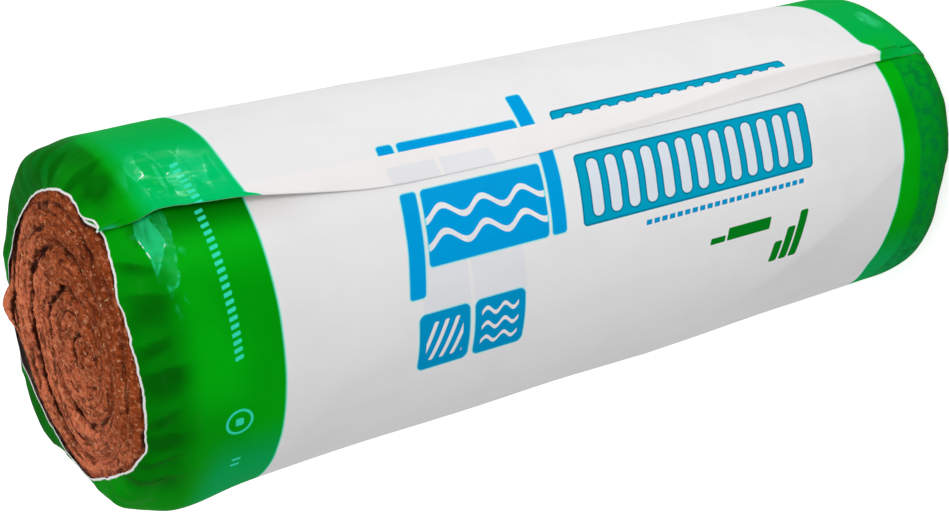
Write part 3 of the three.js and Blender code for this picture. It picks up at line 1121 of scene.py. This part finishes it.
def green_ink(w, sheet, down, round_sheet, depth, glint_streak_and_flap_shadow):
    """The green, with painted reflections over the top, on the flap and low on the front, paler in patches,
    dull on the pressed strip, and with painted shade and shadow in the folds, under the flap and along the
    far crease.
    """
    thin = w.most(w.fade(w.noise(sheet, 6.0, 2.0), 0.45, 0.8), w.fade(round_sheet, 1180, 1270))
    # painted reflection low on the front
    low = w.fade(round_sheet, 1060, 970) * w.fade(round_sheet, 800, 900) * w.fade(down, -100, -60)
    streak = w.fade(w.noise(w.scaled(sheet, 0.45, 1.0, 1.0), 42.0, 1.0, 0.5), 0.40, 0.60)
    # painted shade of the film drawn in over the shoulders, a little streaked
    layers = w.least(depth * (streak * 0.12 + 0.92), 1.0)
    # a painted shadow line along the lap's fold, where it crosses the far green band
    crease_shadow_line = w.fade(abs(round_sheet - 11), 2.4, 0.8) * w.fade(down, 920, 960) * 0.6
    shades = (
        # painted reflection over the top and the back, and brighter on the flap
        (w.fade(round_sheet, 900, 0), GREEN_TOP_REFLECTION),
        (w.fade(round_sheet, 130, 40) * w.fade(down, 300, 0), GREEN_FLAP_SHEEN),
        (w.fade(round_sheet, 200, 100) * w.fade(down, -92, -118), GREEN_THIN),
        (thin, GREEN_THIN),
        (low, GREEN_LOW_REFLECTION),
        (embossed_zone(w, sheet, down, round_sheet), GREEN_DULL),
        # painted shade in the folds, and painted shadow under the flap and along the far crease
        (w.most(layers, glint_streak_and_flap_shadow * 0.85, crease_shadow_line), GREEN_DEEP),
    )
    shade = GREEN
    for mask, ink in shades:
        shade = w.mix(mask, shade, ink)
    return shade


def sleeve_print_group():
    """The colour of the printed sheet, from its place on it (x down, y round from the lap's mean line), with
    painted shade, shadows, reflections and glints in it.
    """
    inputs = {"Sheet": POINT, "From Rim": FLOAT, "Fold Shade": FLOAT}
    group, w, given, put_out = new_group("sleeve_print", inputs, {"Color": PAINT, "Creased": FLOAT})
    sheet = given["Sheet"]
    down, round_sheet = (part * (1 / MM) for part in w.parts(sheet)[:2])
    start = PRINT_TOP - PRINT_PERIOD * 3 - PRINT_BELOW
    across = w.calc("MODULO", round_sheet - start, PRINT_PERIOD) - PRINT_BELOW
    s = Stamp(w, down, across)

    printed = w.fade(round_sheet, sheet_run(PRINT_CUT) - 0.5, sheet_run(PRINT_CUT) + 0.5)
    paint = print_on_white(w, s, w.mix(printed, MARGIN, WHITE), printed)

    from_band = from_green_band(w, down, round_sheet)
    green = w.fade(from_band, 0.4, -0.4)
    # painted shadow below the lap's lifted upper end
    glint_streak_and_flap_shadow = lap_shade(w, down, round_sheet)
    green_paint = green_ink(w, sheet, down, round_sheet, given["Fold Shade"], glint_streak_and_flap_shadow)
    green_paint = w.mix(marks_on_green(w, s, Stamp(w, across, down)) * green, green_paint, MINT)
    # a painted glint at the lap's corner by the rim
    corner_glint = w.fade(round_sheet, 14, 4) * w.fade(given["From Rim"], 20, 9)
    green_paint = w.mix(corner_glint, green_paint, MINT)

    clouds = w.fade(w.noise(sheet, 8.0, 3.0, 0.55), 0.44, 0.68)
    # painted shade past the slanted crease, and faint random clouds
    crease_shade_and_clouds = shade_past_crease(w, down, round_sheet) * 0.045 + clouds * 0.03
    # painted glints where the film is crumpled, which also make its coat glossier there
    glints = lap_glints(w, sheet, down, round_sheet)
    # the brightest painted glints turn white, more so on the flap
    glint_sparkle = glints + w.fade(round_sheet, 300, 200) * 0.16
    hem_width = w.noise(sheet, 26.0, 2.0) * 3.0 + 0.8
    coats = (
        (crease_shade_and_clouds, BLACK),
        (glint_streak_and_flap_shadow * 0.22, LAP_SHADE),
        (green, green_paint),
        (w.fade(abs(from_band), 2.0, 0.4) * 0.7, BAND_GLOW),
        (glints * green, GLINT_MINT),
        (w.fade(glint_sparkle, 0.80, 0.95) * green, INSIDE_WHITE),
        (w.fade(given["From Rim"] - hem_width, 0.4, -0.4), INSIDE_WHITE),
    )
    for mask, ink in coats:
        paint = w.mix(mask, paint, ink)
    put_out("Color", paint)
    put_out("Creased", glints)
    return group


# ---------------- materials


def new_material(name):
    material = bpy.data.materials.new(name)
    material.use_nodes = True
    return material, Wiring(material.node_tree)


def surface(wires, inputs):
    shader = wires.node("ShaderNodeBsdfPrincipled", inputs)
    wires.node("ShaderNodeOutputMaterial", {"Surface": shader.outputs[0]})


def printed_film():
    """White film with its print, glossy, finely crinkled, and more crushed near the rims."""
    material, w = new_material("printed_film")
    from_rim = w.attribute("from_rim")
    inputs = {
        "Sheet": w.take("ShaderNodeUVMap", uv_map="sheet"),
        "From Rim": from_rim,
        "Fold Shade": w.attribute("fold_shade"),
    }
    printed = w.node("ShaderNodeGroup", inputs, node_tree=sleeve_print_group())
    crush = w.fade(from_rim, 150, 20)
    inputs = {"Place": w.object_place(), "Crush": crush * 0.5 + 0.05}
    crinkle = w.take("ShaderNodeGroup", inputs, node_tree=CRINKLE)
    bump = w.take("ShaderNodeBump", {"Height": crinkle, "Strength": 0.5, "Distance": 2.0 * MM})
    surface(w, {
        "Base Color": printed.outputs["Color"],
        "Roughness": 0.45,
        "Normal": bump,
        "Specular IOR Level": 0.0,
        "Coat Weight": Signal(w, printed.outputs["Creased"]) * 0.5 + crush * 0.015 + 0.022,
        "Coat Roughness": 0.14,
    })
    return material


def plain_film():
    """The unprinted inside of the film, and its cut edge."""
    material, w = new_material("plain_film")
    tone = w.mix(w.noise(w.object_place(), 20.0), colour(230, 232, 230), colour(242, 242, 240))
    surface(w, {"Base Color": tone, "Roughness": 0.4, "Specular IOR Level": 0.2})
    return material


WOOL_SMOOTH = colour(172, 80, 38)
# painted light, on the side of the end towards +Y and -X
WOOL_LIT_SIDE = colour(232, 126, 86)
WOOL_DARK = colour(98, 34, 8)
WOOL_LIGHT = colour(236, 152, 110)
WOOL_SPECK = colour(252, 212, 164)
# the dark seams between layers, and painted shade in the hollows
WOOL_SEAM_AND_SHADE = colour(50, 12, 2)


def mineral_wool():
    """Brown wool: mottled and grainy, a little streaked along its layers, with dark seams between them,
    painted light towards one side and painted shade in the hollows.
    """
    material, w = new_material("mineral_wool")
    winding_place = w.attribute("winding", "Vector")
    place = w.object_place()
    x, y, _ = w.parts(place)
    streaks = w.noise(w.scaled(winding_place, 2.0, 2.0, 150.0), 1.0, 3.0, 0.6)
    broad = w.noise(place, 22.0, 2.0, 0.5)
    clumps = w.scaled(place, 1.0, 0.6, 1.0)
    mottle = w.noise(clumps, 190.0, 3.0, 0.6)
    specks = w.noise(clumps, 300.0, 2.0, 0.6)
    # painted light: the end is lighter towards +Y and -X
    painted_light_side = y * 0.9 - x * 0.85 + w.fade(x, -0.04, -0.12) * 0.08
    wandering = w.noise(w.scaled(winding_place, 1.3, 1.3, 80.0), 1.0, 2.0, 0.5)
    seams = w.fade(abs(wandering - 0.5), 0.028, 0.006) * w.fade(w.noise(place, 45.0, 1.0), 0.42, 0.58)
    tones = (
        (w.fade(painted_light_side, -0.13, 0.10), WOOL_LIT_SIDE),
        (w.fade(broad, 0.45, 0.70) * 0.3, WOOL_DARK),
        (w.fade(streaks, 0.50, 0.38) * 0.6, WOOL_DARK),
        (w.fade(mottle, 0.52, 0.36) * 0.6, WOOL_DARK),
        (w.fade(mottle, 0.54, 0.68) * 0.55, WOOL_LIGHT),
        (seams * 0.75, WOOL_SEAM_AND_SHADE),
        (w.fade(specks, 0.62, 0.72) * 0.6, WOOL_SPECK),
        # painted shade in the grooves and just inside the film's rim
        (w.fade(w.attribute("hollow_shade"), 0.15, 0.7), WOOL_SEAM_AND_SHADE),
    )
    tone = WOOL_SMOOTH
    for mask, over in tones:
        tone = w.mix(mask, tone, over)
    height = mottle * 1.2 + w.noise(place, 520.0, 3.0, 0.7) * 0.8 - seams * 0.8
    surface(w, {
        "Base Color": tone,
        "Roughness": 0.95,
        "Normal": w.take("ShaderNodeBump", {"Height": height, "Strength": 0.8, "Distance": 1.6 * MM}),
        "Specular IOR Level": 0.05,
        "Sheen Weight": 0.06,
        "Sheen Roughness": 0.5,
        "Sheen Tint": (0.9, 0.62, 0.42, 1.0),
    })
    return material


def loose_fibre():
    material, w = new_material("loose_fibre")
    tone = w.mix(w.noise(w.object_place(), 90.0), colour(150, 84, 52), colour(198, 134, 92))
    surface(w, {"Base Color": tone, "Roughness": 0.7})
    return material


# ---------------- stage

HORIZON_LIGHT = 0.91
ZENITH_LIGHT = 0.40
SIDE_LIGHT = 0.34  # how much more light comes from +X than from the middle, and less from -X
FLOOR_GLOW = 0.68
FLOOR_SIZE = 14
# (name, place, aim, wide, tall, power)
LAMPS = (
    ("key", at(52, 1.05, 0.60), (0, 0, 0.60), 0.40, 1.7, 2.9),
    ("fill", at(-38, 2.4, 0.9), (0, 0, 0.7), 1.0, 1.0, 3.2),
    ("glint", at(112, 2.0, 0.35), (0.1, 0, 0.9), 0.3, 0.3, 2.5),
    ("crown", at(160, 0.35, 3.0), (0, 0, 1.2), 0.4, 0.4, 6.5),
)


def seen_straight(w):
    """1 where the camera looks straight at it, or by way of a mirror or glass, and 0 for all other light."""
    path = w.node("ShaderNodeLightPath")
    return w.most(*(path.outputs[f"Is {kind} Ray"] for kind in ("Camera", "Glossy", "Transmission")))


def make_floor():
    bm = bmesh.new()
    bmesh.ops.create_grid(bm, x_segments=1, y_segments=1, size=FLOOR_SIZE)
    floor = finish_mesh(bm, "floor")
    material, w = new_material("pale_floor")
    matt = w.take("ShaderNodeBsdfDiffuse", {"Color": (0.9, 0.9, 0.9, 1)})
    glow = w.take("ShaderNodeEmission", {"Color": (1, 1, 1, 1), "Strength": seen_straight(w) * FLOOR_GLOW})
    w.node("ShaderNodeOutputMaterial", {"Surface": w.take("ShaderNodeAddShader", {0: matt, 1: glow})})
    floor.data.materials.append(material)


def make_world():
    world = bpy.data.worlds.new("studio")
    bpy.context.scene.world = world
    world.use_nodes = True
    w = Wiring(world.node_tree)
    x, _, z = w.parts(w.take("ShaderNodeTexCoord", (), "Generated"))
    light = w.fade(z, 0.0, 1.0) * (ZENITH_LIGHT - HORIZON_LIGHT) + HORIZON_LIGHT
    light = light * (x * SIDE_LIGHT + 1.0)
    seen = seen_straight(w)
    back = w.take("ShaderNodeBackground", {"Color": (1, 1, 1, 1), "Strength": seen + (1.0 - seen) * light})
    w.node("ShaderNodeOutputWorld", {"Surface": back})


def make_lamp(name, place, aim, wide, tall, power):
    data = bpy.data.lights.new(name, "AREA")
    data.shape = "RECTANGLE"
    data.size = wide
    data.size_y = tall
    data.energy = power
    lamp = put_in_scene(name, data)
    lamp.location = place
    lamp.rotation_mode = "QUATERNION"
    lamp.rotation_quaternion = (Vector(aim) - place).to_track_quat("-Z", "Y")


# ---------------- the roll

bpy.context.scene.view_settings.view_transform = "Standard"

make_camera()
pieces = {
    make_wound_wool(): ("wool", ["wool_roll"]),
    make_wool_fibres(): ("wool", []),
    make_film_sleeve(): ("film", ["wrapper_film"]),
}
for piece, (slot, stands_for) in pieces.items():
    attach(piece, "root")
    if stands_for:
        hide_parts(*stands_for)
make_floor()
make_world()
for lamp in LAMPS:
    make_lamp(*lamp)

bpy.context.view_layer.update()
